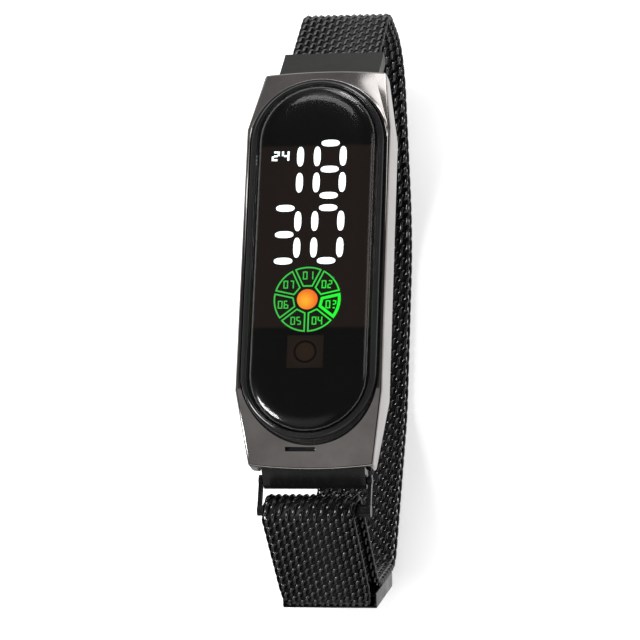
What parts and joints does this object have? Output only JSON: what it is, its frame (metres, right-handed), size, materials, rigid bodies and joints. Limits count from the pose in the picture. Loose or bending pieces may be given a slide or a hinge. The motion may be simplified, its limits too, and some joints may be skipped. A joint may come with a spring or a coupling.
{
  "type": "led watch",
  "caption": "Slim LED digital watch: metal case with sloping ends, sealed pill-shaped light capsule under a smoked lens, folded mesh strap with ring buckle and magnet clasp.",
  "frame": {"origin": "centre of the rear cover's flat face that lies on the wrist", "axes": "+Z out through the lens, +Y to twelve o'clock, +X to three o'clock"},
  "size_m": [0.0196, 0.0848, 0.0512],
  "materials": {
    "case_metal": "satin gunmetal",
    "capsule_plastic": "matte black",
    "bezel_gloss": "gloss black",
    "lens_smoke": "smoked, polished",
    "display_dark": "matte dark film",
    "light_white": "lit white",
    "light_off": "unlit diffuser",
    "light_green": "lit green",
    "light_orange": "lit orange",
    "touch_brown": "brown tinted film",
    "board_green": "solder mask",
    "chip_black": "moulded",
    "led_cream": "moulded",
    "cell_steel": "plated",
    "contact_brass": "sprung strip",
    "gasket_rubber": "matte",
    "bright_steel": "turned",
    "link_black": "matte black plating",
    "mesh_black": "gloss black plated wire",
    "ring_black": "satin black plating",
    "clasp_black": "satin black plating",
    "magnet_nickel": "nickel plated"
  },
  "bodies": {
    "case": {"case_frame": "case_metal", "capsule_shell": "capsule_plastic", "bezel_ring": "bezel_gloss", "lens": "lens_smoke", "display_film": "display_dark", "light_frame": "display_dark", "digit_lights": "light_white", "unlit_segments": "light_off", "number_light": "light_white", "weekday_lights": "light_green", "wheel_disc": "display_dark", "pulse_light": "light_orange", "touch_pad": "touch_brown", "main_board": "board_green", "led_chips": "led_cream", "controller_chip": "chip_black", "crystal": "cell_steel", "coin_cell": "cell_steel", "battery_clip": "contact_brass", "battery_spring": "contact_brass", "rear_gasket": "gasket_rubber", "rear_cover": "capsule_plastic", "rear_screws": "bright_steel", "upper_bar_tube": "bright_steel", "upper_bar_spring": "bright_steel", "lower_bar_tube": "bright_steel", "lower_bar_spring": "bright_steel"},
    "upper_left_tip": {"upper_left_tip": "bright_steel"},
    "upper_right_tip": {"upper_right_tip": "bright_steel"},
    "lower_left_tip": {"lower_left_tip": "bright_steel"},
    "lower_right_tip": {"lower_right_tip": "bright_steel"},
    "strap": {"upper_link": "link_black", "strap_mesh": "mesh_black", "strap_fold": "mesh_black"},
    "lower_link": {"lower_link": "link_black", "ring_pin": "ring_black"},
    "ring": {"buckle_ring": "ring_black"},
    "tail": {"strap_tail": "mesh_black", "clasp_housing": "clasp_black", "clasp_magnets": "magnet_nickel", "clasp_plate": "clasp_black"}
  },
  "joints": [
    {"name": "strap_hinge", "type": "hinge", "parent": "case", "child": "strap", "pos_m": [0, 0.0261, 0.002], "axis": [1, 0, 0], "range_deg": [-1.5, 1.5]},
    {"name": "lower_link_hinge", "type": "hinge", "parent": "case", "child": "lower_link", "pos_m": [0, -0.0261, 0.002], "axis": [1, 0, 0], "range_deg": [-3.9, 3.9]},
    {"name": "ring_hinge", "type": "hinge", "parent": "lower_link", "child": "ring", "pos_m": [0, -0.0283, -0.0003], "axis": [1, 0, 0], "range_deg": [-15.6, 15.6]},
    {"name": "tail_peel", "type": "hinge", "parent": "strap", "child": "tail", "pos_m": [0, -0.0324, 0], "axis": [-1, 0, 0], "range_deg": [0, 100], "deforming": ["strap_fold"]},
    {"name": "upper_left_tip_slide", "type": "slide", "parent": "case", "child": "upper_left_tip", "axis": [1, 0, 0], "range_m": [0, 0.001], "stiffness_N_per_m": 20, "deforming": ["upper_bar_spring"]},
    {"name": "upper_right_tip_slide", "type": "slide", "parent": "case", "child": "upper_right_tip", "axis": [-1, 0, 0], "range_m": [0, 0.001], "stiffness_N_per_m": 20, "deforming": ["upper_bar_spring"]},
    {"name": "lower_left_tip_slide", "type": "slide", "parent": "case", "child": "lower_left_tip", "axis": [1, 0, 0], "range_m": [0, 0.001], "stiffness_N_per_m": 20, "deforming": ["lower_bar_spring"]},
    {"name": "lower_right_tip_slide", "type": "slide", "parent": "case", "child": "lower_right_tip", "axis": [-1, 0, 0], "range_m": [0, 0.001], "stiffness_N_per_m": 20, "deforming": ["lower_bar_spring"]}
  ],
  "couplings": [
    {"joint": "lower_link_hinge", "follows": "strap_hinge", "ratio": 2.552},
    {"joint": "ring_hinge", "follows": "strap_hinge", "ratio": 10.35}
  ]
}
